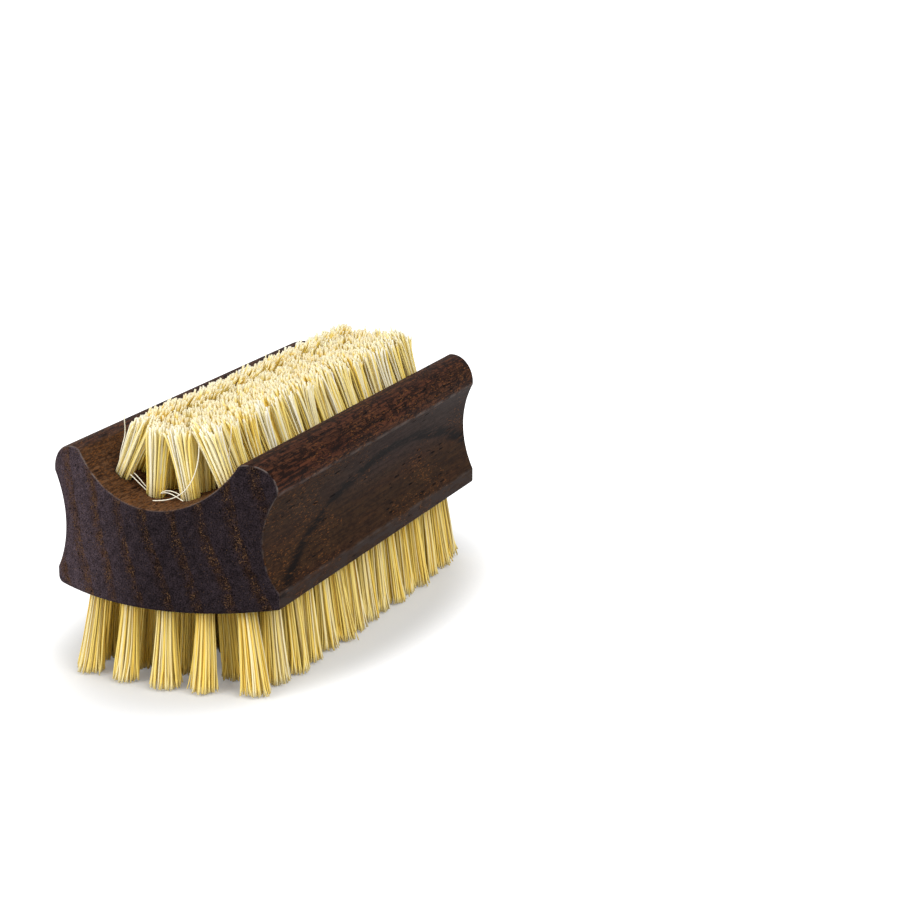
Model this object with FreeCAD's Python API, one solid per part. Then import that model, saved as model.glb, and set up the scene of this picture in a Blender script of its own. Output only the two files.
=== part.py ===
import FreeCAD, Part
import math
import os

# A two-sided wooden nail brush, in millimetres. X runs along the length, Y across and Z up. The
# origin is under the middle of the brush, in the plane that the trimmed lower tufts stand on.

# Wooden body
body_length = 95.0
body_width = 41.2
body_height = 25.5
underside_crown = 1.1
facet_height = 2.7
groove_depth = 2.4
rail_radius = 4.7
ridge_angle = 5.0
rail_inner_angle = 16.0
trough_floor_height = 17.0
end_radius = 45.6
ridge_round = 0.7
trough_edge_round = 1.2
facet_round = 0.5
worn_corner_round = 1.2
end_round = 0.5

# Tuft pattern, shared by both sides
tuft_rows = 15
hole_diameter = 3.5
tuft_clearance = 0.05
flare_start = 0.8
end_draw_power = 8

# Lower tufts
lower_tuft_reach = 14.4
lower_hole_depth = 6.0
lower_tip_diameter = 4.9
lower_end_margin = 4.7
lower_side_margin = 5.2
lower_corner_draw = 1.8
lower_column_shares = (-1.0, -0.5, 0.0, 0.5, 1.0)
lower_side_lean = 6.0
lower_end_lean = 5.0

# Upper tufts
upper_tuft_rise = 4.9
upper_hole_depth = 6.0
upper_tip_diameter = 3.5
upper_end_margin = 7.8
upper_side_margin = 5.0
upper_inner_share = 1 / 3
upper_outer_lean = 20.0
upper_inner_lean = 4.8
upper_end_lean = 3.0

# Anchors that hold the folded fibre at the bottom of each hole
anchor_thickness = 0.4
anchor_height = 1.6
anchor_floor_gap = 0.7

# How far cutting shapes run past what they cut
overrun = 2.0

half_length = body_length / 2
half_width = body_width / 2
tuft_diameter = hole_diameter - 2 * tuft_clearance
anchor_length = tuft_diameter
body_bottom = lower_tuft_reach
body_top = body_bottom + body_height
trim_height = body_top + upper_tuft_rise
rail_y = half_width - rail_radius
rail_z = body_top - rail_radius


def vector(x, y, z):
    return FreeCAD.Vector(x, y, z)


def arc_edge(start, middle, end):
    return Part.Arc(start, middle, end).toShape()


def arc_height(radius, reach):
    """How far an arc of this radius has left its tangent at this distance from the touching point."""
    return radius - math.sqrt(radius * radius - reach * reach)


def arc_radius(reach, height):
    """Radius of the arc that rises this much over this distance from its touching point."""
    return (reach * reach + height * height) / (2 * height)


def on_rail(angle):
    """Point of the rail's round, at this angle from its crest towards the outside."""
    turn = math.radians(angle)
    return rail_y + rail_radius * math.sin(turn), rail_z + rail_radius * math.cos(turn)


ridge_y, ridge_z = on_rail(90 + ridge_angle)
trough_edge_y, trough_edge_z = on_rail(-rail_inner_angle)
trough_floor_z = body_bottom + trough_floor_height
trough_radius = arc_radius(trough_edge_y, trough_edge_z - trough_floor_z)
crown_radius = arc_radius(half_width, underside_crown)
corner_z = body_bottom + underside_crown
facet_top_z = corner_z + facet_height


def underside_height(y):
    return body_bottom + arc_height(crown_radius, y)


def trough_height(y):
    return trough_floor_z + arc_height(trough_radius, y)


def end_recess(y):
    return arc_height(end_radius, y)


def side_edges(side):
    """Facet, finger groove and rail of one long side, from the underside to the trough."""
    crest_y, crest_z = on_rail(0)
    corner = vector(0, side * half_width, corner_z)
    facet_top = vector(0, side * half_width, facet_top_z)
    ridge_point = vector(0, side * ridge_y, ridge_z)
    deepest = vector(0, side * (half_width - groove_depth), (facet_top_z + ridge_z) / 2)
    rail_crest = vector(0, side * crest_y, crest_z)
    inner_edge = vector(0, side * trough_edge_y, trough_edge_z)
    return [
        Part.LineSegment(corner, facet_top).toShape(),
        arc_edge(facet_top, deepest, ridge_point),
        arc_edge(ridge_point, rail_crest, inner_edge),
    ]


def body_profile():
    underside = arc_edge(vector(0, -half_width, corner_z), vector(0, 0, body_bottom),
                         vector(0, half_width, corner_z))
    trough = arc_edge(vector(0, -trough_edge_y, trough_edge_z), vector(0, 0, trough_floor_z),
                      vector(0, trough_edge_y, trough_edge_z))
    edges = [underside, trough] + side_edges(1) + side_edges(-1)
    return Part.Wire(Part.__sortEdges__(edges))


def plan_prism():
    """The body's outline seen from above, with both ends curved, tall enough to trim the bar."""
    corner_y = half_width + overrun
    corner_x = half_length - end_recess(corner_y)
    right = arc_edge(vector(corner_x, -corner_y, 0), vector(half_length, 0, 0),
                     vector(corner_x, corner_y, 0))
    left = arc_edge(vector(-corner_x, corner_y, 0), vector(-half_length, 0, 0),
                    vector(-corner_x, -corner_y, 0))
    far = Part.LineSegment(vector(corner_x, corner_y, 0), vector(-corner_x, corner_y, 0)).toShape()
    near = Part.LineSegment(vector(-corner_x, -corner_y, 0), vector(corner_x, -corner_y, 0)).toShape()
    outline = Part.Wire([right, far, left, near])
    return Part.Face(outline).extrude(vector(0, 0, trim_height))


def long_edges(shape, y, z):
    """Edges that run along the bar at this place of its section."""
    found = []
    for edge in shape.Edges:
        ends = [vertex.Point for vertex in edge.Vertexes]
        if len(ends) == 2 and all(abs(p.y - y) + abs(p.z - z) < tuft_clearance for p in ends):
            found.append(edge)
    return found


def long_rounds():
    """Place and radius of each rounded edge along the bar; one lower corner is worn rounder."""
    rounds = [(half_width, corner_z, worn_corner_round), (-half_width, corner_z, facet_round)]
    for side in (1, -1):
        rounds.append((side * trough_edge_y, trough_edge_z, trough_edge_round))
        rounds.append((side * ridge_y, ridge_z, ridge_round))
        rounds.append((side * half_width, facet_top_z, facet_round))
    return rounds


def rounded_bar():
    profile = body_profile()
    bar = Part.Face(profile).extrude(vector(body_length + 2 * overrun, 0, 0))
    bar.translate(vector(-half_length - overrun, 0, 0))
    for y, z, radius in long_rounds():
        bar = bar.makeFillet(radius, long_edges(bar, y, z))
    return bar


def end_edges(shape):
    """Edges on the two curved ends."""
    found = []
    for edge in shape.Edges:
        middle = edge.valueAt((edge.FirstParameter + edge.LastParameter) / 2)
        points = [vertex.Point for vertex in edge.Vertexes] + [middle]
        if all(abs(half_length - end_recess(p.y) - abs(p.x)) < tuft_clearance for p in points):
            found.append(edge)
    return found


def draw_in(end_share):
    """How much of the corner draw applies this far towards an end."""
    return abs(end_share) ** end_draw_power


def end_shares():
    return [2 * row / (tuft_rows - 1) - 1 for row in range(tuft_rows)]


def lean_direction(along_lean, across_lean, up):
    direction = vector(math.tan(math.radians(along_lean)), math.tan(math.radians(across_lean)), up)
    return direction.normalize()


def lower_place(end_share, column_share):
    """Mouth centre and outward direction of one hole in the underside."""
    y = column_share * (half_width - lower_side_margin - lower_corner_draw * draw_in(end_share))
    x = end_share * (half_length - lower_end_margin - end_recess(y))
    along = lower_end_lean * end_share ** 3
    return vector(x, y, underside_height(y)), lean_direction(along, lower_side_lean * column_share, -1)


def upper_place(end_share, offset, lean):
    """Mouth centre and outward direction of one hole in the trough."""
    x = end_share * (half_length - upper_end_margin - end_recess(offset))
    along = upper_end_lean * end_share ** 3
    return vector(x, offset, trough_height(offset)), lean_direction(along, -lean, 1)


upper_outer_offset = trough_edge_y - upper_side_margin
upper_inner_offset = upper_outer_offset * upper_inner_share
upper_columns = (
    (-upper_outer_offset, -upper_outer_lean),
    (-upper_inner_offset, -upper_inner_lean),
    (upper_inner_offset, upper_inner_lean),
    (upper_outer_offset, upper_outer_lean),
)


def hole(place, depth):
    mouth, outward = place
    floor = mouth - outward * depth
    return Part.makeCylinder(hole_diameter / 2, depth + overrun, floor, outward)


def wooden_body():
    body = rounded_bar().common(plan_prism()).Solids[0]
    body = body.makeFillet(end_round, end_edges(body))
    holes = []
    for end_share in end_shares():
        for column_share in lower_column_shares:
            holes.append(hole(lower_place(end_share, column_share), lower_hole_depth))
        for offset, lean in upper_columns:
            holes.append(hole(upper_place(end_share, offset, lean), upper_hole_depth))
    return body.cut(holes)


def anchor(place, depth):
    """A flat staple across the hole, just above its floor, with the fibre folded round it."""
    mouth, outward = place
    staple = Part.makeBox(anchor_length, anchor_thickness, anchor_height)
    staple.translate(vector(-anchor_length / 2, -anchor_thickness / 2, 0))
    staple.Placement = FreeCAD.Placement(mouth - outward * (depth - anchor_floor_gap),
                                         FreeCAD.Rotation(vector(0, 0, 1), outward)) * staple.Placement
    return staple.common(Part.makeCylinder(anchor_length / 2, depth, mouth - outward * depth, outward))


def tuft(place, depth, tip_diameter, reach):
    """A bundle: straight in its hole, then flaring to its tip, which the trim plane cuts."""
    mouth, outward = place
    floor = mouth - outward * (depth - tuft_clearance)
    straight = depth - tuft_clearance + flare_start
    shank = Part.makeCylinder(tuft_diameter / 2, straight, floor, outward)
    flare = Part.makeCone(tuft_diameter / 2, tip_diameter / 2, reach, mouth + outward * flare_start, outward)
    return shank.fuse(flare).removeSplitter().cut(anchor(place, depth))


def trim_slab():
    """The space between the two trim planes."""
    slab = Part.makeBox(body_length + body_height, body_width + body_height, trim_height)
    slab.translate(vector(-(body_length + body_height) / 2, -(body_width + body_height) / 2, 0))
    return slab


def lower_tuft(place):
    reach = lower_tuft_reach + underside_crown
    return tuft(place, lower_hole_depth, lower_tip_diameter, reach).common(trim_slab())


def upper_tuft(place):
    reach = trim_height - trough_floor_z
    return tuft(place, upper_hole_depth, upper_tip_diameter, reach).common(trim_slab())


def write(name, shapes):
    solids = [solid for shape in shapes for solid in shape.Solids]
    shape = solids[0] if len(solids) == 1 else Part.makeCompound(solids)
    shape.exportStep(os.path.join("parts", name + ".step"))
    print(name, len(solids), "solids", round(shape.Volume, 1), "mm3", "valid", shape.isValid())


os.makedirs("parts", exist_ok=True)
write("wooden_body", [wooden_body()])

for row, end_share in enumerate(end_shares(), start=1):
    lower = [lower_tuft(lower_place(end_share, share)) for share in lower_column_shares]
    write("lower_tuft_row_%02d" % row, lower)
    upper = [upper_tuft(upper_place(end_share, offset, lean)) for offset, lean in upper_columns]
    write("upper_tuft_row_%02d" % row, upper)

for column, share in enumerate(lower_column_shares, start=1):
    staples = [anchor(lower_place(end_share, share), lower_hole_depth) for end_share in end_shares()]
    write("lower_anchor_column_%d" % column, staples)

for column, (offset, lean) in enumerate(upper_columns, start=1):
    staples = [anchor(upper_place(end_share, offset, lean), upper_hole_depth) for end_share in end_shares()]
    write("upper_anchor_column_%d" % column, staples)
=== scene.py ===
import bpy
import bmesh
import math
import numpy as np
from mathutils import Matrix, Vector


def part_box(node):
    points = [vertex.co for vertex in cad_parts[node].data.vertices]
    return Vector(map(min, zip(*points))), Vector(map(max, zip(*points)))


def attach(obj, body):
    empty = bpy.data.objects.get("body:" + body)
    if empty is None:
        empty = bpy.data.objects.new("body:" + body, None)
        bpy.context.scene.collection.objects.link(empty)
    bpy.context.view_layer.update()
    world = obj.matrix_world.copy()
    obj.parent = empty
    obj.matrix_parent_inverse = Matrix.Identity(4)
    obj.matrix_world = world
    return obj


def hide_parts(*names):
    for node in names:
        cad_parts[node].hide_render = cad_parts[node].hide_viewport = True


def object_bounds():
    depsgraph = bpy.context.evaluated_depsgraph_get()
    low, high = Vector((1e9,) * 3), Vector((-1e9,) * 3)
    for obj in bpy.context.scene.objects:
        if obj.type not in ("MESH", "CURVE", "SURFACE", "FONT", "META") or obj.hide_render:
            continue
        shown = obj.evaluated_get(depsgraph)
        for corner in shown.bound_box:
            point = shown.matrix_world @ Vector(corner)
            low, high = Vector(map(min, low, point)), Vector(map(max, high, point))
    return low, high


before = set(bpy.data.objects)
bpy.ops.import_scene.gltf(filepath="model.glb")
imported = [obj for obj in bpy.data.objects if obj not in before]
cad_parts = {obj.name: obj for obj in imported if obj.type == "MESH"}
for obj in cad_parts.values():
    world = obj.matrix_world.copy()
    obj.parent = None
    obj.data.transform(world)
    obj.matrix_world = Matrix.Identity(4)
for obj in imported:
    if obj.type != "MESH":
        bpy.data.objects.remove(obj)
cadLow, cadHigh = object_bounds()
mm = 0.001
bodyLow, bodyHigh = (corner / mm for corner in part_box("wooden_body"))
print("frame loaded:", len(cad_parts), "nodes")


# nodes of a material

def addNode(tree, kind, sockets=None, **settings):
    made = tree.nodes.new(kind)
    for name, value in settings.items():
        setattr(made, name, value)
    for key, value in (sockets or {}).items():
        if isinstance(value, bpy.types.NodeSocket):
            tree.links.new(value, made.inputs[key])
        else:
            made.inputs[key].default_value = value
    return made


def addMath(tree, operation, a, b=None, c=None, clamp=False):
    sockets = {i: value for i, value in enumerate((a, b, c)) if value is not None}
    return addNode(tree, "ShaderNodeMath", sockets, operation=operation, use_clamp=clamp).outputs[0]


def addRange(tree, value, low, high, toLow=0.0, toHigh=1.0):
    sockets = {"Value": value, "From Min": low, "From Max": high, "To Min": toLow, "To Max": toHigh}
    made = addNode(tree, "ShaderNodeMapRange", sockets, interpolation_type="SMOOTHSTEP", clamp=True)
    return made.outputs["Result"]


def rangeFrom(tree, value, start, offsets, *to):  # a range given as offsets from one place
    return addRange(tree, value, start + offsets[0], start + offsets[1], *to)


mixSockets = {"factor": 0, "a": 6, "b": 7, "result": 2}  # where a Mix node keeps its colours


def addMix(tree, factor, a, b, blend="MIX"):
    made = addNode(tree, "ShaderNodeMix", data_type="RGBA", blend_type=blend)
    for key, value in (("factor", factor), ("a", a), ("b", b)):
        socket = made.inputs[mixSockets[key]]
        if isinstance(value, bpy.types.NodeSocket):
            tree.links.new(value, socket)
        else:
            socket.default_value = value
    return made.outputs[mixSockets["result"]]


def addLength(tree, vector):
    return addNode(tree, "ShaderNodeVectorMath", {0: vector}, operation="LENGTH").outputs["Value"]


def addScaled(tree, vector, factor):
    made = addNode(tree, "ShaderNodeVectorMath", {0: vector, "Scale": factor}, operation="SCALE")
    return made.outputs[0]


def addStretch(tree, place, stretch):
    return addNode(tree, "ShaderNodeVectorMath", {0: place, 1: stretch}, operation="MULTIPLY").outputs[0]


def addNoise(tree, place, size, stretch=(1, 1, 1), detail=2.0, rough=0.5):
    sockets = {"Vector": addStretch(tree, place, stretch), "Scale": 1 / size, "Detail": detail,
               "Roughness": rough}
    return addNode(tree, "ShaderNodeTexNoise", sockets).outputs["Fac"]


def objectCoords(tree):
    return addNode(tree, "ShaderNodeTexCoord").outputs["Object"]


def newMaterial(name):
    material = bpy.data.materials.new(name)
    material.use_nodes = True
    material.node_tree.nodes.clear()
    return material, material.node_tree


def addShader(tree, sockets):
    shader = addNode(tree, "ShaderNodeBsdfPrincipled", sockets)
    addNode(tree, "ShaderNodeOutputMaterial", {"Surface": shader.outputs[0]})


# camera, light and floor

cameraSetup = {
    "place": (-385.64, -188.43, 142.17),  # mm
    "aim": (-26.74, -43.75, 40.87),  # mm
    "roll": 0.136,  # degrees
    "lens": 99.0,
    "sensor": 36.0,
    "clipEnd": 20.0,  # metres
}


def makeCamera():
    place = Vector(cameraSetup["place"])
    aim = Vector(cameraSetup["aim"])
    bpy.ops.object.camera_add()
    camera = bpy.context.object
    camera.name = "photoCamera"
    turn = (aim - place).to_track_quat("-Z", "Y").to_matrix()
    roll = Matrix.Rotation(math.radians(cameraSetup["roll"]), 3, "Z")
    camera.matrix_world = Matrix.Translation(place * mm) @ (turn @ roll).to_4x4()
    camera.data.lens = cameraSetup["lens"]
    camera.data.sensor_width = cameraSetup["sensor"]
    camera.data.clip_end = cameraSetup["clipEnd"]
    bpy.context.scene.camera = camera


lightSetup = {  # places and sizes in metres, powers in watts
    "key": {"place": (-0.30, -0.68, 0.70), "size": 0.7, "power": 6.2},
    "front": {"place": (-0.88, 0.38, 0.46), "size": 0.6, "power": 6.3},
    "world": 0.58,  # how strongly it lights; the backdrop itself is seen at full strength
    "backdrop": (1, 1, 1, 1),
}


def makeLights():
    for name in ("key", "front"):
        setup = lightSetup[name]
        place = Vector(setup["place"])
        bpy.ops.object.light_add(type="AREA", location=place)
        lamp = bpy.context.object
        lamp.name = name + "Light"
        lamp.rotation_euler = (-place).to_track_quat("-Z", "Y").to_euler()
        lamp.data.size = setup["size"]
        lamp.data.energy = setup["power"]


def seenShare(tree):  # 1 where the camera, a reflection or glass looks straight at the backdrop
    path = addNode(tree, "ShaderNodeLightPath").outputs
    seen = addMath(tree, "ADD", path["Is Camera Ray"], path["Is Glossy Ray"])
    return addMath(tree, "ADD", seen, path["Is Transmission Ray"], clamp=True)


def makeWorld():
    world = bpy.data.worlds.new("studio")
    bpy.context.scene.world = world
    world.use_nodes = True
    tree = world.node_tree
    tree.nodes.clear()
    light = lightSetup["world"]
    strength = addMath(tree, "MULTIPLY_ADD", seenShare(tree), 1 - light, light)
    back = addNode(tree, "ShaderNodeBackground", {"Color": lightSetup["backdrop"], "Strength": strength})
    addNode(tree, "ShaderNodeOutputWorld", {"Surface": back.outputs[0]})


floorSetup = {
    "size": 12.0,
    "colour": (0.62, 0.62, 0.62, 1),
    "shine": (1, 1, 1, 1),
    "glow": (0.16, 0.9),  # what makes the floor white to the camera, close to the brush and far from it
    "reach": (0.026, 0.044),  # metres from the middle of the brush, between which the glow grows
    "oval": (0.55, 1.1, 1),  # the shadow under the brush is longer than it is wide
}


def makeFloor():
    setup = floorSetup
    material, tree = newMaterial("paleFloor")
    away = addLength(tree, addStretch(tree, objectCoords(tree), setup["oval"]))
    glow = addRange(tree, away, *setup["reach"], *setup["glow"])
    glow = addMath(tree, "MULTIPLY", seenShare(tree), glow)
    shine = addNode(tree, "ShaderNodeEmission", {"Color": setup["shine"], "Strength": glow})
    paint = addNode(tree, "ShaderNodeBsdfDiffuse", {"Color": setup["colour"]})
    both = addNode(tree, "ShaderNodeAddShader", {0: paint.outputs[0], 1: shine.outputs[0]})
    addNode(tree, "ShaderNodeOutputMaterial", {"Surface": both.outputs[0]})
    bpy.ops.mesh.primitive_plane_add(size=setup["size"], location=(0, 0, 0))
    floor = bpy.context.object
    floor.name = "floor"
    floor.data.materials.append(material)


makeCamera()
makeLights()
makeWorld()
makeFloor()
print("camera, light and floor ready")


# the section of the body and its tuft pattern, in millimetres and degrees, as the body is cut and drilled

section = {
    "crown": 1.1,
    "facetHeight": 2.7,
    "railRadius": 4.7,
    "ridgeAngle": 5.0,
    "railInnerAngle": 16.0,
    "troughFloor": 17.0,
    "endRadius": 45.6,
}
halfLength = (bodyHigh.x - bodyLow.x) / 2
halfWidth = (bodyHigh.y - bodyLow.y) / 2


def arcHeight(radius, reach):
    return radius - math.sqrt(radius * radius - reach * reach)


def arcRadius(reach, height):
    return (reach * reach + height * height) / (2 * height)


def railPoint(angle):
    turn = math.radians(angle)
    radius = section["railRadius"]
    return halfWidth - radius + radius * math.sin(turn), bodyHigh.z - radius + radius * math.cos(turn)


ridgeY, ridgeZ = railPoint(90 + section["ridgeAngle"])
troughEdgeY, troughEdgeZ = railPoint(-section["railInnerAngle"])
troughFloorZ = bodyLow.z + section["troughFloor"]
troughRadius = arcRadius(troughEdgeY, troughEdgeZ - troughFloorZ)
crownRadius = arcRadius(halfWidth, section["crown"])
facetTopZ = bodyLow.z + section["crown"] + section["facetHeight"]
grooveZ = (facetTopZ + ridgeZ) / 2

pattern = {
    "rows": 15,
    "endDraw": 8,  # power with which the corner holes are drawn in
    "holeRadius": 1.75,
}
lowerTufts = {
    "seed": 8648,
    "columns": (-1.0, -0.5, 0.0, 0.5, 1.0),
    "endMargin": 4.7,
    "sideMargin": 5.2,
    "cornerDraw": 1.8,
    "sideLean": 6.0,
    "endLean": 5.0,
    "tipSpan": (2.2, 2.15),  # half-width of a tuft's end along the brush and across it
    "tipDome": 0.3,  # how much shorter the outside of a bundle is
    "wander": 0.15,  # how far a tip strays from its place in the bundle
    "uneven": 0.16,
    "trim": 0.0,
    "drops": (0.0, 0.0, 0.0, 0.0, 0.0),
    "shorter": 0.35,  # within which the tips stay short of the trim
    "longShare": 0.0,
    "longer": 0.0,
    "curl": 0.2,
    "count": 104,  # fibres in one tuft
    "radius": 0.13,
    "tones": (0.03, 0.70),  # from the deepest fibre to the palest, darker than above partly as painted shade under the body
    "tonePower": 1.2,
    "toneSpread": 0.05,
}
upperTufts = {
    "seed": 289,
    "columns": (-1.0, -1 / 3, 1 / 3, 1.0),
    "endMargin": 7.8,
    "sideMargin": 5.0,
    "leans": (21.0, 6.3, -6.3, -24.0),  # each column's lean across the brush
    "endLean": 2.0,
    "tipSpan": (2.4, 2.1),
    "tipDome": 1.4,
    "wander": 0.13,
    "uneven": 0.09,
    "trim": cadHigh.z / mm,
    "drops": (0.0, 0.6, 0.6, -0.2),  # how much lower each column is trimmed
    "shorter": 0.3,
    "longShare": 0.03,
    "longer": 0.8,  # how far a few single fibres stand above the rest
    "curl": 0.24,
    "count": 66,
    "radius": 0.175,
    "tones": (0.0, 1.0),
    "tonePower": 0.58,
    "toneSpread": 0.14,
}
endShares = [2 * row / (pattern["rows"] - 1) - 1 for row in range(pattern["rows"])]


def leanVector(along, across, up):
    return Vector((math.tan(math.radians(along)), math.tan(math.radians(across)), up)).normalized()


def lowerPlace(endShare, column):
    setup = lowerTufts
    draw = setup["cornerDraw"] * abs(endShare) ** pattern["endDraw"]
    y = column * (halfWidth - setup["sideMargin"] - draw)
    x = endShare * (halfLength - setup["endMargin"] - arcHeight(section["endRadius"], y))
    z = bodyLow.z + arcHeight(crownRadius, y)
    return Vector((x, y, z)), leanVector(setup["endLean"] * endShare ** 3, setup["sideLean"] * column, -1)


def upperPlace(endShare, column, lean):
    setup = upperTufts
    y = column * (troughEdgeY - setup["sideMargin"])
    x = endShare * (halfLength - setup["endMargin"] - arcHeight(section["endRadius"], y))
    z = troughFloorZ + arcHeight(troughRadius, y)
    return Vector((x, y, z)), leanVector(setup["endLean"] * endShare ** 3, lean, 1)


# one fibre, modelled once: radius 1 and length 1, along Z

fibreShape = {
    "sides": 5,
    "cuts": (0.3, 0.58, 0.8, 0.93),
    "tip": 0.5,  # how far the end is drawn in
    "tipFrom": 0.999,
}


def selectAbove(mesh, height):
    edit = bmesh.from_edit_mesh(mesh)
    for face in edit.faces:
        face.select_set(face.calc_center_median().z > height)
    bmesh.update_edit_mesh(mesh)


def modelFibre():
    shape = fibreShape
    bpy.ops.object.select_all(action="DESELECT")
    bpy.ops.mesh.primitive_cylinder_add(vertices=shape["sides"], radius=1, depth=1, location=(0, 0, 0.5))
    master = bpy.context.object
    master.name = "fibreMaster"
    bpy.ops.object.transform_apply(location=True, rotation=True, scale=True)
    bpy.ops.object.mode_set(mode="EDIT")
    for cut in shape["cuts"]:
        bpy.ops.mesh.select_all(action="SELECT")
        bpy.ops.mesh.bisect(plane_co=(0, 0, cut), plane_no=(0, 0, 1))
    bpy.ops.mesh.select_all(action="DESELECT")
    selectAbove(master.data, shape["tipFrom"])
    bpy.ops.transform.resize(value=(shape["tip"], shape["tip"], 1))
    bpy.ops.object.mode_set(mode="OBJECT")
    points = np.array([vertex.co for vertex in master.data.vertices])
    faces = [list(face.vertices) for face in master.data.polygons]
    bpy.data.objects.remove(master)
    return points, faces


fibrePoints, fibreFaces = modelFibre()
fibreAlong = fibrePoints[:, 2]

fibreLook = {  # lengths in millimetres
    "radiusSpread": 0.20,
    "radiusLimits": (-0.35, 0.5),  # how much thinner and thicker a fibre may be
    "sunk": 1.5,  # how far the fibres start inside their hole
    "holeFill": 0.95,
    "turnSpread": 0.25,  # radians, from an even spiral of fibres
    "splayPower": 1.6,
    "leanSpread": 1.5,  # degrees, from tuft to tuft
    "leanLimit": 1.6,
    "tipSpread": 0.09,
    "paintedHiddenShade": 0.45,  # painted shade: how much of their paleness fibres keep that face other tufts
    "openPower": 0.5,
    "bow": 0.11,  # sideways bow of the middle
    "curlPower": 7,
    "strayShare": 0.025,
    "strayReach": 0.8,
}
goldenTurn = math.pi * (3 - math.sqrt(5))


def tuftAxes(outward):  # out of the hole, along the brush and across it
    along = Vector((1, 0, 0)) - outward * outward.x
    across = outward.cross(along.normalized())
    return np.array(outward), np.array(along.normalized()), np.array(across)


def turned(place, lean):
    mouth, outward = place
    axis, aside, across = tuftAxes(outward)
    return mouth, Vector(axis + aside * lean[0] + across * lean[1]).normalized()


def exposure(around, outward, openTo):  # how far each fibre of a tuft faces the open, not other tufts, for the painted shade between tufts
    outX = around[:, 0] * openTo[0]
    outY = around[:, 1] * openTo[1] * math.copysign(1, outward.z)
    return np.maximum(outX, outY).clip(0, 1) if any(openTo) else np.zeros(len(around))


def bundle(place, setup, trim, openTo, dice):  # what sets each fibre of a tuft apart
    look = fibreLook
    mouth, outward = place
    axis, aside, across = tuftAxes(outward)
    sideways = np.array([aside, across])
    count = setup["count"]
    order = (np.arange(count) + 0.5) / count
    spread = np.sqrt(order)
    turn = np.arange(count) * goldenTurn + dice.uniform(0, 2 * math.pi)
    turn = turn + dice.normal(0, look["turnSpread"], count)
    around = np.stack([np.cos(turn) * spread, np.sin(turn) * spread], axis=1)
    tipSpan = np.array(setup["tipSpan"]) * (1 + dice.normal(0, look["tipSpread"]))
    foot = around @ sideways * (pattern["holeRadius"] - setup["radius"]) * look["holeFill"]

    loose = dice.normal(0, setup["wander"], (count, 2)) @ sideways
    stray = (dice.random(count) < look["strayShare"])[:, None]
    astray = dice.normal(0, look["strayReach"], (count, 2)) @ sideways
    tip = around * tipSpan @ sideways + loose + stray * astray
    bow = dice.normal(0, look["bow"], (count, 2)) @ sideways
    curl = dice.normal(0, setup["curl"], (count, 2)) @ sideways

    short = np.abs(dice.normal(0, setup["uneven"], count)) + setup["shorter"] * dice.random(count)
    short = short + setup["tipDome"] * order ** 2
    short = short - setup["longer"] * (dice.random(count) < setup["longShare"])
    goal = trim - math.copysign(1, outward.z) * short
    reach = (goal - mouth.z - tip[:, 2]) / outward.z
    thicker = dice.normal(0, look["radiusSpread"], count).clip(*look["radiusLimits"])
    radius = setup["radius"] * (1 + thicker)

    low, high = setup["tones"]
    toneAndShade = low + (high - low) * dice.random(count) ** setup["tonePower"]
    toneAndShade = toneAndShade + dice.normal(0, setup["toneSpread"])
    # painted shade: fibres that face other tufts are darker
    seen = exposure(around, outward, openTo) ** look["openPower"]
    toneAndShade = (toneAndShade * (look["paintedHiddenShade"] + (1 - look["paintedHiddenShade"]) * seen)).clip(0, 1)
    return foot, tip, bow, curl, reach, radius, toneAndShade


def addBundle(place, setup, trim, openTo, dice, store):
    look = fibreLook
    mouth, outward = place
    foot, tip, bow, curl, reach, radius, toneAndShade = bundle(place, setup, trim, openTo, dice)
    axis, aside, across = tuftAxes(outward)
    height = fibreAlong[None, :] * (reach + look["sunk"])[:, None] - look["sunk"]
    share = (height / reach[:, None]).clip(0, 1)[:, :, None]
    splay = share ** look["splayPower"]
    line = np.array(mouth) + axis * height[:, :, None]
    line = line + foot[:, None, :] * (1 - splay) + tip[:, None, :] * splay
    curl = curl[:, None, :] * share ** look["curlPower"]
    line = line + bow[:, None, :] * np.sin(share * math.pi) + curl
    skin = fibrePoints[:, 0, None] * aside + fibrePoints[:, 1, None] * across
    skin = skin[None] * radius[:, None, None]
    store["points"].append((line + skin).reshape(-1, 3))
    store["toneAndShade"].append(np.repeat(toneAndShade, len(fibrePoints)))
    store["along"].append(share.reshape(-1))
    store["fibres"] += len(toneAndShade)


def setValues(mesh, key, values):
    layer = mesh.attributes.new("fibre_" + key, "FLOAT", "POINT")
    layer.data.foreach_set("value", values.astype(np.float32))


def makeRow(name, places, setup, openEnd, number, material):
    dice = np.random.default_rng(setup["seed"] + number)
    store = {"points": [], "toneAndShade": [], "along": [], "fibres": 0}
    limit = fibreLook["leanLimit"]
    leans = dice.normal(0, 1, (len(places), 2)).clip(-limit, limit)
    leans = np.radians(fibreLook["leanSpread"]) * leans
    openSides = [-1] + [0] * (len(places) - 2) + [1]
    for place, lean, drop, openSide in zip(places, leans, setup["drops"], openSides):
        addBundle(turned(place, lean), setup, setup["trim"] - drop, (openEnd, openSide), dice, store)
    points = np.concatenate(store["points"]) * mm
    size = len(fibrePoints)
    faces = [[v + k * size for v in face] for k in range(store["fibres"]) for face in fibreFaces]
    mesh = bpy.data.meshes.new(name)
    mesh.from_pydata(points.tolist(), [], faces)
    for key in ("toneAndShade", "along"):
        setValues(mesh, key, np.concatenate(store[key]))
    mesh.shade_smooth()
    mesh.materials.append(material)
    row = bpy.data.objects.new(name, mesh)
    bpy.context.scene.collection.objects.link(row)
    return row


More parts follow.
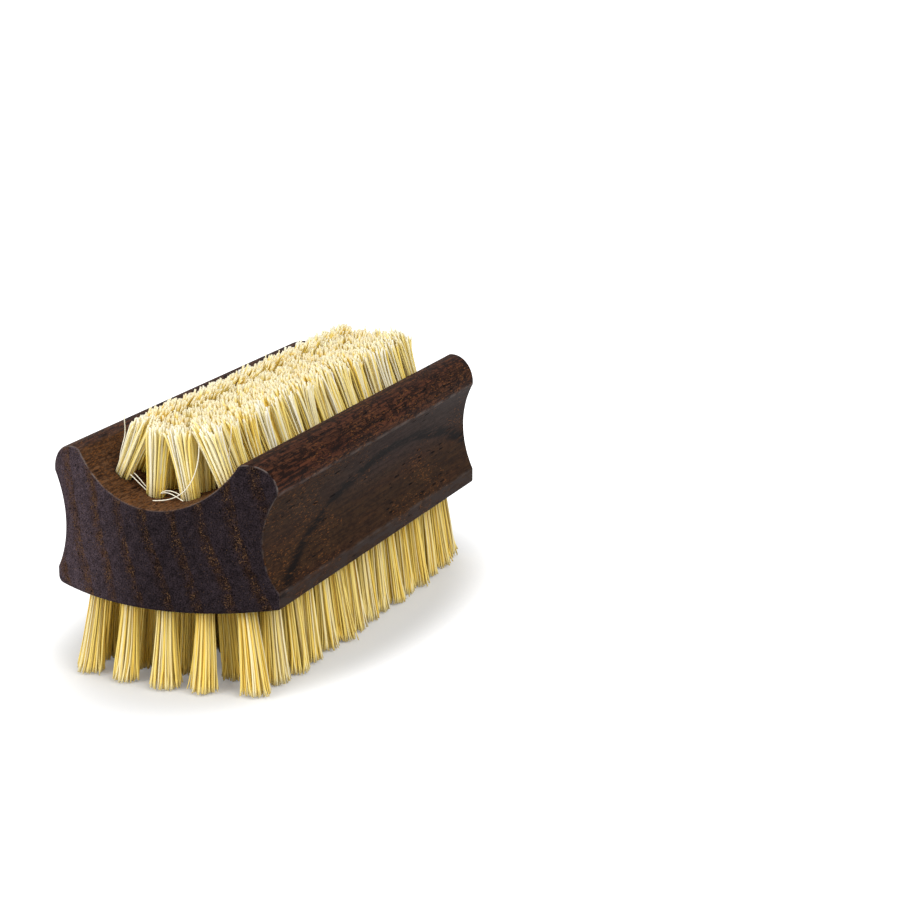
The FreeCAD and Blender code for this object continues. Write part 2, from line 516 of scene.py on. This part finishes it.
fibreFinish = {
    "tones": (  # from the deepest fibre to the palest
        (0.0, (0.96, 0.68, 0.11, 1)),
        (0.20, (0.97, 0.76, 0.19, 1)),
        (0.45, (0.97, 0.82, 0.34, 1)),
        (0.70, (0.97, 0.89, 0.58, 1)),
        (1.0, (0.97, 0.94, 0.85, 1)),
    ),
    # painted shade: a golden tint for the shade deep in a tuft, near its root
    "foot": (0.97, 0.80, 0.36, 1),
    "footShadeShare": (0.0, 0.4, 0.4, 0.0),  # how much of the painted shade shows, over the first part of a fibre's length
    "cutEnd": (0.80, 0.78, 0.72, 1),
    "cutFrom": (0.90, 1.0),
    "cutShare": (0.6, 0.15),  # above the body and below it
    "paintedUnderShade": (0.93, 0.92, 0.97, 1),  # painted shade under the body: what the lower fibres are darker by
    "fleckSize": 1.1,  # mm
    "rough": (0.3, 0.7, 0.34, 0.55),
    "specular": 0.22,
}


def fibreMaterial():
    look = fibreFinish
    material, tree = newMaterial("plantFibre")
    # the tone attribute holds each fibre's own tone with the painted shade between tufts
    toneAndShade = addNode(tree, "ShaderNodeAttribute", attribute_name="fibre_toneAndShade").outputs["Fac"]
    along = addNode(tree, "ShaderNodeAttribute", attribute_name="fibre_along").outputs["Fac"]
    ramp = addNode(tree, "ShaderNodeValToRGB", {"Fac": toneAndShade})
    stops = ramp.color_ramp.elements
    deepest, *between, palest = look["tones"]
    for stop, (position, stopColour) in zip(stops, (deepest, palest)):
        stop.position = position
        stop.color = stopColour
    for position, stopColour in between:
        stops.new(position).color = stopColour
    # painted shade near the roots
    paintedFootShade = addRange(tree, along, *look["footShadeShare"])
    colour = addMix(tree, paintedFootShade, ramp.outputs["Color"], look["foot"], "MULTIPLY")
    coords = objectCoords(tree)
    height = addNode(tree, "ShaderNodeSeparateXYZ", {0: coords}).outputs["Z"]
    below = addRange(tree, height, bodyLow.z * mm, troughFloorZ * mm, 1.0, 0.0)
    cutShare = addRange(tree, below, 0.0, 1.0, *look["cutShare"])
    cut = addMath(tree, "MULTIPLY", addRange(tree, along, *look["cutFrom"]), cutShare)
    colour = addMix(tree, cut, colour, look["cutEnd"])
    # painted shade: the fibres below the body darker
    colour = addMix(tree, below, colour, look["paintedUnderShade"], "MULTIPLY")
    flecks = addNoise(tree, coords, look["fleckSize"] * mm)
    rough = addRange(tree, flecks, *look["rough"])
    addShader(tree, {"Base Color": colour, "Roughness": rough, "Specular IOR Level": look["specular"]})
    return material


fibre = fibreMaterial()


def makeTufts():
    for number, endShare in enumerate(endShares, start=1):
        lower = [lowerPlace(endShare, column) for column in lowerTufts["columns"]]
        upper = [upperPlace(endShare, column, lean)
                 for column, lean in zip(upperTufts["columns"], upperTufts["leans"])]
        openEnd = int(endShare) if abs(endShare) == 1 else 0
        for side, places, setup in (("lower", lower, lowerTufts), ("upper", upper, upperTufts)):
            name = "%s_bristles_%02d" % (side, number)
            row = makeRow(name, places, setup, openEnd, number, fibre)
            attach(row, "root")
            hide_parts("%s_tuft_row_%02d" % (side, number))


makeTufts()
print("bristles ready")


# single fibres that have come loose from the upper tufts at the near end; points in millimetres

strayFibres = {
    "radius": 0.085,
    "sides": 1,  # bevel resolution
    "steps": 5,
    "smoothing": 4,  # order of the curve
    "toneAndShade": 0.9,
    "along": 0.8,
    "routes": (
        ((-39.9, -5.0, 43.4), (-40.6, -5.6, 40.4), (-41.4, -5.4, 37.0), (-41.9, -4.0, 34.2),
         (-42.4, -2.4, 32.6), (-42.9, -0.2, 31.8), (-43.4, 1.8, 31.8)),
        ((-40.0, 2.4, 31.9), (-40.7, 1.4, 32.9), (-41.0, -0.1, 33.4), (-40.9, -1.9, 32.5)),
        ((-40.0, 2.6, 31.9), (-40.8, 1.4, 32.5), (-41.2, 0.1, 32.9), (-41.7, -1.6, 32.4),
         (-41.8, -2.9, 31.8)),
        ((-38.6, 10.6, 34.9), (-36.5, 11.7, 36.8), (-34.7, 11.9, 38.6), (-33.8, 11.9, 40.0),
         (-34.2, 11.8, 41.4), (-34.5, 11.7, 43.4)),
        ((-38.9, 9.0, 34.6), (-39.8, 7.9, 35.0), (-40.2, 6.6, 33.9), (-40.0, 4.8, 32.4)),
        ((-38.6, 8.4, 34.8), (-39.2, 7.2, 35.1), (-39.6, 5.9, 33.5), (-39.6, 4.4, 32.3)),
        ((-38.5, -9.0, 34.1), (-39.2, -7.9, 35.2), (-38.7, -6.2, 38.0), (-38.0, -4.2, 40.4)),
        ((-36.2, -8.6, 36.5), (-36.3, -8.4, 39.0), (-36.0, -9.1, 41.4), (-35.4, -8.7, 43.9)),
    ),
}


def strayFibre(number, route):
    bpy.ops.object.select_all(action="DESELECT")
    bpy.ops.curve.primitive_nurbs_path_add(location=(0, 0, 0))
    strand = bpy.context.object
    strand.name = "stray_%d" % number
    curve = strand.data
    curve.splines.clear()
    spline = curve.splines.new("NURBS")
    spline.points.add(len(route) - 1)
    for point, place in zip(spline.points, route):
        point.co = [*(Vector(place) * mm), 1]
    spline.use_endpoint_u = True
    spline.order_u = strayFibres["smoothing"]
    spline.resolution_u = strayFibres["steps"]
    curve.bevel_depth = strayFibres["radius"] * mm
    curve.bevel_resolution = strayFibres["sides"]
    curve.use_fill_caps = True
    bpy.ops.object.convert(target="MESH")
    return bpy.context.object


def makeStrays():
    strands = [strayFibre(number, route) for number, route in enumerate(strayFibres["routes"])]
    bpy.ops.object.select_all(action="DESELECT")
    for strand in strands:
        strand.select_set(True)
    bpy.context.view_layer.objects.active = strands[0]
    bpy.ops.object.join()
    strays = bpy.context.object
    strays.name = "stray_fibres"
    bpy.ops.object.shade_smooth()
    for key in ("toneAndShade", "along"):
        setValues(strays.data, key, np.full(len(strays.data.vertices), strayFibres[key]))
    strays.data.materials.clear()
    strays.data.materials.append(fibre)
    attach(strays, "root")


makeStrays()
print("stray fibres ready")


# Stained, open-pored wood: settings, then a function for each thing that shows in it. Places are in
# millimetres. A noise has a size, a stretch in X, Y and Z, a detail and a roughness. A range has the two
# values that it starts from and, where they aren't 0 and 1, the two that it gives.

woodLook = {
    "pores": {
        "colour": (0.0035, 0.0022, 0.0022, 1),
        "width": (0.18, 0.48),  # share of a pore's cell, from the narrowest to the widest
        "core": 0.55,
    },
    "speckEdge": 0.045,
    "rings": {
        "pith": (-107.0, 52.0),  # in Y and Z, the middle of the growth rings
        "spacing": 4.95,
        "waver": 2.6,
        "waverNoise": (10.0, (0.10, 1, 1)),
        "drift": 0.04,  # mm sideways for each mm along the brush
        "start": (0.0, 0.10),  # part of a ring over which its pores begin
        "stop": (0.55, 0.20),  # part over which they end
        "raggedNoise": (0.9, (0.12, 1, 1), 3.0, 0.6),
        "ragged": (0.33, 0.67, 0.35, 1.25),
        "fadingNoise": (7.0, (0.2, 1, 1)),
        "fading": (0.35, 0.6, 0.65, 1.0),
    },
    "end": {
        "dark": (0.0165, 0.0118, 0.0140, 1),
        "ring": (0.0165, 0.0082, 0.0058, 1),
        "ringShare": 0.85,
        "paintedEndLight": (-2.0, 18.5, 1.0, 2.9),  # painted light: how much lighter the end grain is towards its far side
        "mottleNoise": (1.3, (1, 1, 1), 4.0, 0.6),
        "mottle": (0.3, 0.7, 0.75, 1.3),
        "fineNoise": (0.20, (1, 1, 1), 3.0, 0.6),
        "fine": (0.37, 0.63, 0.42, 1.65),
        "poreSize": 0.38,
        "poreStretch": 0.1,
        "poreShare": (0.95, 0.05),  # more in a ring's band, and everywhere
        "speck": (0.110, 0.060, 0.030, 1),
        "speckNoise": (0.21, (0.3, 1, 1), 2.0, 0.6),
        "speckFrom": 0.67,
        "speckBand": -0.145,  # how much sooner specks show in a ring's band
        "speckFar": -0.05,  # and towards the far side
        "far": (0.0, 16.0),
        "speckFadeNoise": (1.2,),
        "speckFade": (0.35, 0.65, 0.25, 1.0),
    },
    "side": {
        "dark": (0.0080, 0.0030, 0.0022, 1),
        "red": (0.092, 0.027, 0.014, 1),
        "brown": (0.070, 0.034, 0.015, 1),
        # painted sheen: a grey reflection high in the groove, towards the far end
        "paintedSheen": (0.052, 0.037, 0.036, 1),
        "ridge": (-0.6, 0.6),  # from the ridge, over which the groove's finish becomes the rail's
        "streakNoise": (0.42, (0.05, 1, 1), 5.0, 0.7),
        "streak": (0.36, 0.64),
        "plain": 0.34,  # how much less streaky the groove is than the rail
        "stainNoise": (2.4, (0.08, 1, 1), 3.0),
        "stain": 1.1,
        "stainRail": (0.55, -0.50),  # how much redder the rail is, and all the rest
        "upper": (-2.5, 3.0),  # from the middle of the groove
        "paintedSheenShare": (-40.0, 5.0, 0.1, 0.7),  # painted sheen, greyer towards the far end
        # painted shade: how much darker the groove is than the rail
        "paintedGrooveShade": 0.62,
        "blotNoise": (0.70, (0.35, 1, 1), 5.0, 0.75),
        "blot": (0.485, 0.55),
        "blotShare": (0.5, 0.92),  # in the groove and on the rail
        "poreSize": 0.55,
        "poreStretch": 0.16,
        "poreShare": (0.6, 0.06),
        "poreDepth": 0.9,
        "patchNoise": (9.0, (0.5, 1, 1)),
        "patch": (0.42, 0.60),
        "nearEnd": (-8.0, -38.0),  # along the brush; low on the side, specks gather towards the near end
        "speck": (0.155, 0.060, 0.018, 1),
        "speckNoise": (0.22, (0.22, 1, 1), 2.0, 0.6),
        "speckFrom": 0.71,
        "speckPatch": -0.12,
        "speckShare": 0.7,
    },
    "vein": {
        "top": 30.5,  # height of the vein in the finger grooves where it is highest
        "middle": 8.0,  # along the brush, where that is
        "fall": 0.0053,  # mm down for each square millimetre from there
        "waver": 2.5,
        "waverNoise": (5.0, (0.4, 1, 1)),
        "width": (1.7, 0.3),
        "brokenNoise": (0.8, (0.15, 1, 1), 4.0, 0.65),
        "broken": (0.40, 0.52),
        "share": 0.95,
    },
    "trough": {
        "dark": (0.036, 0.016, 0.008, 1),
        "warm": (0.180, 0.088, 0.043, 1),
        "streak": (0.32, 0.66),
        "shade": (1.0, 11.0, 1.0, 0.68),  # painted shade: darker towards the far side
        "blotNoise": (0.50, (0.40, 1, 1), 5.0, 0.75),
        "blot": (0.48, 0.54, 0.0, 0.85),
        "speckNoise": (0.24, (0.25, 1, 1), 2.0, 0.6),
        "speckFrom": 0.545,
        "speckShare": 0.7,
        "poreDepth": 0.8,
        "depth": (0.5, 0.1),  # outside the trough's round
        "edge": (0.3, -0.6),  # from the trough's edge
    },
    "facet": {
        "colour": (0.031, 0.021, 0.018, 1),
        "side": (-0.22, -0.06),  # from the brush's full width
        "top": (0.1, -0.3),  # from the facet's top
        "rubbedNoise": (1.2, (0.3, 1, 1), 4.0, 0.65),
        "rubbed": (0.42, 0.58, 0.25, 0.95),
    },
    "wearAndHighlight": {
        # partly real wear, partly painted highlight along the edges
        "colour": (0.150, 0.125, 0.115, 1),
        "share": 0.65,
        "rim": (0.25, 0.5),  # how far the surface turns to the end, where the wear and painted highlight of the rim begins
        "rimStop": (0.84, 0.66),  # and where it stops
        "rimFall": (-4.0, 1.0),  # from the ridge
        "rimLow": (0.35, 1.0),
        "core": 0.3,  # part of a line's width that is worn and highlighted most
        "ridge": 0.55,  # half-widths of the worn and highlighted lines
        "trough": 0.8,
        "facet": 0.4,
        "troughShare": 0.35,
        "facetShare": 0.3,
        "lineShare": 0.6,
        "rubbedNoise": (1.6, (0.4, 1, 1), 4.0, 0.6),
        "rubbed": (0.36, 0.62),
    },
    "surface": {
        "endOn": (0.45, 0.8),  # how far the surface turns to the end before it shows end grain
        "rough": 0.50,
        "roughEnd": 0.25,
        "roughStreak": 0.10,
        "roughPore": 0.15,
        "specular": 0.02,
        "gritNoise": (0.22, (1, 1, 1), 3.0),
        "grit": 0.9,  # height of each pattern in the bump
        "streak": 0.8,
        "pore": -1.0,
        "ring": -0.5,
        "bump": 0.6,
        "bumpHeight": 0.10,
    },
}


def patchy(tree, place, look, key):  # a noise, and the range that makes a mask of it
    return addRange(tree, addNoise(tree, place, *look[key + "Noise"]), *look[key])


def awayFrom(tree, y, z, lineY, lineZ):  # distance from a line that runs along the brush
    offsets = {1: addMath(tree, "SUBTRACT", y, lineY), 2: addMath(tree, "SUBTRACT", z, lineZ)}
    return addLength(tree, addNode(tree, "ShaderNodeCombineXYZ", offsets).outputs[0])


def ringBands(tree, place, axes):  # 0 in the dense late wood, up to 1 where a growth ring's pores begin
    look = woodLook["rings"]
    across = awayFrom(tree, axes[1], axes[2], *look["pith"])
    waver = addNoise(tree, place, *look["waverNoise"])
    across = addMath(tree, "MULTIPLY_ADD", waver, look["waver"], across)
    across = addMath(tree, "MULTIPLY_ADD", axes[0], look["drift"], across)
    part = addMath(tree, "FRACT", addMath(tree, "DIVIDE", across, look["spacing"]))
    band = addRange(tree, part, *look["start"])
    band = addMath(tree, "MULTIPLY", band, addRange(tree, part, *look["stop"]))
    ragged = patchy(tree, place, look, "ragged")
    fading = patchy(tree, place, look, "fading")
    return addMath(tree, "MULTIPLY", addMath(tree, "MULTIPLY", band, ragged), fading, clamp=True)


def poreDots(tree, place, look, band):  # dots or dashes of uneven width, kept by chance
    pores = woodLook["pores"]
    share = addMath(tree, "MULTIPLY_ADD", band, *look["poreShare"])
    cells = addNode(tree, "ShaderNodeTexVoronoi", {
        "Vector": addStretch(tree, place, (look["poreStretch"], 1, 1)), "Scale": 1 / look["poreSize"]})
    chance = addNode(tree, "ShaderNodeSeparateColor", {0: cells.outputs["Color"]}).outputs
    width = addRange(tree, chance[1], 0.0, 1.0, *pores["width"])
    core = addMath(tree, "MULTIPLY", width, pores["core"])
    dot = addRange(tree, cells.outputs["Distance"], width, core)
    return addMath(tree, "MULTIPLY", dot, addMath(tree, "LESS_THAN", chance[0], share))


def specks(tree, place, noise, threshold):
    field = addNoise(tree, place, *noise)
    return addRange(tree, field, threshold, addMath(tree, "ADD", threshold, woodLook["speckEdge"]))


def endColour(tree, place, axes, band):
    look = woodLook["end"]
    # painted light: the end grain is made lighter towards its far side
    paintedEndLight = addRange(tree, axes[1], *look["paintedEndLight"])
    mottle = patchy(tree, place, look, "mottle")
    fine = patchy(tree, place, look, "fine")
    colour = addMix(tree, addMath(tree, "MULTIPLY", band, look["ringShare"]), look["dark"], look["ring"])
    shade = addMath(tree, "MULTIPLY", mottle, fine)
    colour = addScaled(tree, colour, addMath(tree, "MULTIPLY", shade, paintedEndLight))
    pores = poreDots(tree, place, look, band)
    colour = addMix(tree, pores, colour, woodLook["pores"]["colour"])
    far = addRange(tree, axes[1], *look["far"])
    threshold = addMath(tree, "MULTIPLY_ADD", far, look["speckFar"], look["speckFrom"])
    threshold = addMath(tree, "MULTIPLY_ADD", band, look["speckBand"], threshold)
    rust = specks(tree, place, look["speckNoise"], threshold)
    fade = patchy(tree, place, look, "speckFade")
    return addMix(tree, addMath(tree, "MULTIPLY", rust, fade), colour, look["speck"]), pores


def grooveVein(tree, place, axes):  # a dark vein of pores that arches through the finger groove
    look = woodLook["vein"]
    along = addMath(tree, "SUBTRACT", axes[0], look["middle"])
    height = addMath(tree, "MULTIPLY_ADD", addMath(tree, "MULTIPLY", along, along), look["fall"], axes[2])
    waver = addMath(tree, "SUBTRACT", addNoise(tree, place, *look["waverNoise"]), 0.5)
    away = addMath(tree, "SUBTRACT", height, look["top"])
    away = addMath(tree, "MULTIPLY_ADD", waver, look["waver"], away)
    vein = addRange(tree, addMath(tree, "ABSOLUTE", away), *look["width"])
    broken = patchy(tree, place, look, "broken")
    return addMath(tree, "MULTIPLY", vein, broken)


def sideWarmWithPaintedLight(tree, place, axes, onRail, upper):  # the lighter colour between the streaks, with a painted sheen and painted shade in the groove
    look = woodLook["side"]
    broad = addNoise(tree, place, *look["stainNoise"])
    stain = addMath(tree, "MULTIPLY_ADD", onRail, *look["stainRail"])
    stain = addMath(tree, "MULTIPLY_ADD", broad, look["stain"], stain, clamp=True)
    warm = addMix(tree, stain, look["brown"], look["red"])
    # painted sheen high in the groove, growing towards the far end
    paintedSheenShare = addMath(tree, "MULTIPLY", upper, addRange(tree, axes[0], *look["paintedSheenShare"]))
    paintedSheenShare = addMath(tree, "MULTIPLY", paintedSheenShare, addMath(tree, "SUBTRACT", 1.0, onRail))
    warm = addMix(tree, paintedSheenShare, warm, look["paintedSheen"])
    # painted shade: the groove darker than the rail
    return addScaled(tree, warm, addRange(tree, onRail, 0.0, 1.0, look["paintedGrooveShade"], 1.0))


def sideSpecks(tree, place, axes, upper):  # in patches, and low on the side near the near end
    look = woodLook["side"]
    patch = patchy(tree, place, look, "patch")
    low = addMath(tree, "SUBTRACT", 1.0, upper)
    low = addMath(tree, "MULTIPLY", addRange(tree, axes[0], *look["nearEnd"]), low)
    patch = addMath(tree, "MAXIMUM", patch, low)
    threshold = addMath(tree, "MULTIPLY_ADD", patch, look["speckPatch"], look["speckFrom"])
    return specks(tree, place, look["speckNoise"], threshold)


def sideColour(tree, place, axes, band):
    look = woodLook["side"]
    poreColour = woodLook["pores"]["colour"]
    onRail = rangeFrom(tree, axes[2], ridgeZ, look["ridge"])
    upper = rangeFrom(tree, axes[2], grooveZ, look["upper"])
    warm = sideWarmWithPaintedLight(tree, place, axes, onRail, upper)
    streak = addNoise(tree, place, *look["streakNoise"])
    plain = addRange(tree, onRail, 0.0, 1.0, look["plain"], 0.0)
    colour = addMix(tree, addRange(tree, streak, *look["streak"], plain, 1.0), look["dark"], warm)
    blot = patchy(tree, place, look, "blot")
    blot = addMath(tree, "MULTIPLY", blot, addRange(tree, onRail, 0.0, 1.0, *look["blotShare"]))
    colour = addMix(tree, blot, colour, look["dark"])
    pores = poreDots(tree, place, look, band)
    colour = addMix(tree, addMath(tree, "MULTIPLY", pores, look["poreDepth"]), colour, poreColour)
    rust = sideSpecks(tree, place, axes, upper)
    colour = addMix(tree, addMath(tree, "MULTIPLY", rust, look["speckShare"]), colour, look["speck"])
    inGroove = addRange(tree, onRail, 0.0, 1.0, woodLook["vein"]["share"], 0.0)
    vein = addMath(tree, "MULTIPLY", grooveVein(tree, place, axes), inGroove)
    return addMix(tree, vein, colour, poreColour), pores, streak


def troughColour(tree, place, axes, streak, pores):
    look = woodLook["trough"]
    colour = addMix(tree, addRange(tree, streak, *look["streak"]), look["dark"], look["warm"])
    # painted shade: the trough darker towards its far side
    colour = addScaled(tree, colour, addRange(tree, axes[1], *look["shade"]))
    blot = patchy(tree, place, look, "blot")
    colour = addMix(tree, blot, colour, look["dark"])
    rust = specks(tree, place, look["speckNoise"], look["speckFrom"])
    rust = addMath(tree, "MULTIPLY", rust, look["speckShare"])
    colour = addMix(tree, rust, colour, woodLook["side"]["speck"])
    pores = addMath(tree, "MULTIPLY", pores, look["poreDepth"])
    return addMix(tree, pores, colour, woodLook["pores"]["colour"])


def inTrough(tree, axes, sideY):
    look = woodLook["trough"]
    away = awayFrom(tree, axes[1], axes[2], 0.0, troughFloorZ + troughRadius)
    return addMath(tree, "MULTIPLY", rangeFrom(tree, away, troughRadius, look["depth"]),
                   rangeFrom(tree, sideY, troughEdgeY, look["edge"]))


def onFacet(tree, place, axes, sideY):
    look = woodLook["facet"]
    flat = addMath(tree, "MULTIPLY", rangeFrom(tree, sideY, halfWidth, look["side"]),
                   rangeFrom(tree, axes[2], facetTopZ, look["top"]))
    rubbed = patchy(tree, place, look, "rubbed")
    return addMath(tree, "MULTIPLY", flat, rubbed)


def wornHighlitLine(tree, sideY, z, lineY, lineZ, width):
    return addRange(tree, awayFrom(tree, sideY, z, lineY, lineZ), width, width * woodLook["wearAndHighlight"]["core"])


# edges worn and lit with a painted highlight: the end's rim, the ridge, the trough's edge and the facet's
# top
def wornAndHighlitEdges(tree, place, axes, sideY, endOn):
    look = woodLook["wearAndHighlight"]
    rim = addRange(tree, endOn, *look["rim"])
    rim = addMath(tree, "MULTIPLY", rim, addRange(tree, endOn, *look["rimStop"]))
    high = rangeFrom(tree, axes[2], ridgeZ, look["rimFall"], *look["rimLow"])
    rim = addMath(tree, "MULTIPLY", rim, high)
    ridge = wornHighlitLine(tree, sideY, axes[2], ridgeY, ridgeZ, look["ridge"])
    trough = wornHighlitLine(tree, sideY, axes[2], troughEdgeY, troughEdgeZ, look["trough"])
    facet = wornHighlitLine(tree, sideY, axes[2], halfWidth, facetTopZ, look["facet"])
    lines = addMath(tree, "ADD", ridge, addMath(tree, "MULTIPLY", trough, look["troughShare"]))
    lines = addMath(tree, "MULTIPLY", lines, look["lineShare"])
    lines = addMath(tree, "MULTIPLY_ADD", facet, look["facetShare"], lines)
    wearAndHighlight = addMath(tree, "MAXIMUM", rim, lines)
    rubbed = patchy(tree, place, look, "rubbed")
    return addMath(tree, "MULTIPLY", addMath(tree, "MULTIPLY", wearAndHighlight, rubbed), look["share"])


def woodMaterial():
    look = woodLook["surface"]
    material, tree = newMaterial("stainedWood")
    place = addScaled(tree, objectCoords(tree), 1 / mm)
    axes = addNode(tree, "ShaderNodeSeparateXYZ", {0: place}).outputs
    normal = addNode(tree, "ShaderNodeNewGeometry").outputs["Normal"]
    facing = addNode(tree, "ShaderNodeSeparateXYZ", {0: normal}).outputs
    endOn = addMath(tree, "ABSOLUTE", facing[0])
    sideY = addMath(tree, "ABSOLUTE", axes[1])
    onEnd = addRange(tree, endOn, *look["endOn"])
    band = ringBands(tree, place, axes)

    end, endPores = endColour(tree, place, axes, band)
    side, sidePores, streak = sideColour(tree, place, axes, band)
    trough = troughColour(tree, place, axes, streak, sidePores)
    side = addMix(tree, inTrough(tree, axes, sideY), side, trough)
    side = addMix(tree, onFacet(tree, place, axes, sideY), side, woodLook["facet"]["colour"])
    colour = addMix(tree, onEnd, side, end)
    # worn edges with a painted highlight
    wornAndHighlit = wornAndHighlitEdges(tree, place, axes, sideY, endOn)
    colour = addMix(tree, wornAndHighlit, colour, woodLook["wearAndHighlight"]["colour"])

    pores = addMath(tree, "MAXIMUM", addMath(tree, "MULTIPLY", endPores, onEnd), sidePores)
    rough = addMath(tree, "MULTIPLY_ADD", onEnd, look["roughEnd"], look["rough"])
    rough = addMath(tree, "MULTIPLY_ADD", streak, look["roughStreak"], rough)
    rough = addMath(tree, "MULTIPLY_ADD", pores, look["roughPore"], rough)
    grit = addNoise(tree, place, *look["gritNoise"])
    height = addMath(tree, "MULTIPLY", streak, look["streak"])
    height = addMath(tree, "MULTIPLY_ADD", pores, look["pore"], height)
    height = addMath(tree, "MULTIPLY_ADD", addMath(tree, "MULTIPLY", grit, onEnd), look["grit"], height)
    height = addMath(tree, "MULTIPLY_ADD", band, look["ring"], height)
    bump = addNode(tree, "ShaderNodeBump", {
        "Height": height, "Strength": look["bump"], "Distance": look["bumpHeight"] * mm})
    addShader(tree, {"Base Color": colour, "Roughness": rough, "Specular IOR Level": look["specular"],
                     "Normal": bump.outputs[0]})
    return material


def finishNode(node, material):
    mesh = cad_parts[node].data
    if not mesh.materials:
        mesh.materials.append(material)
    for index in range(len(mesh.materials)):
        mesh.materials[index] = material


finishNode("wooden_body", woodMaterial())


anchorLook = {
    "dark": (0.42, 0.41, 0.39, 1),
    "bright": (0.68, 0.67, 0.64, 1),
    "lineSize": 0.25,  # mm
    "lineStretch": (0.05, 1, 1),
    "rough": (0.3, 0.7, 0.28, 0.5),
}


def anchorMaterial():
    look = anchorLook
    material, tree = newMaterial("drawnWire")
    lines = addNoise(tree, objectCoords(tree), look["lineSize"] * mm, look["lineStretch"])
    colour = addMix(tree, lines, look["dark"], look["bright"])
    rough = addRange(tree, lines, *look["rough"])
    addShader(tree, {"Base Color": colour, "Metallic": 1.0, "Roughness": rough})
    return material


wire = anchorMaterial()
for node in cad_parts:
    if "anchor" in node:
        finishNode(node, wire)
print("wood and anchors finished")

bpy.context.scene.view_settings.view_transform = "Standard"
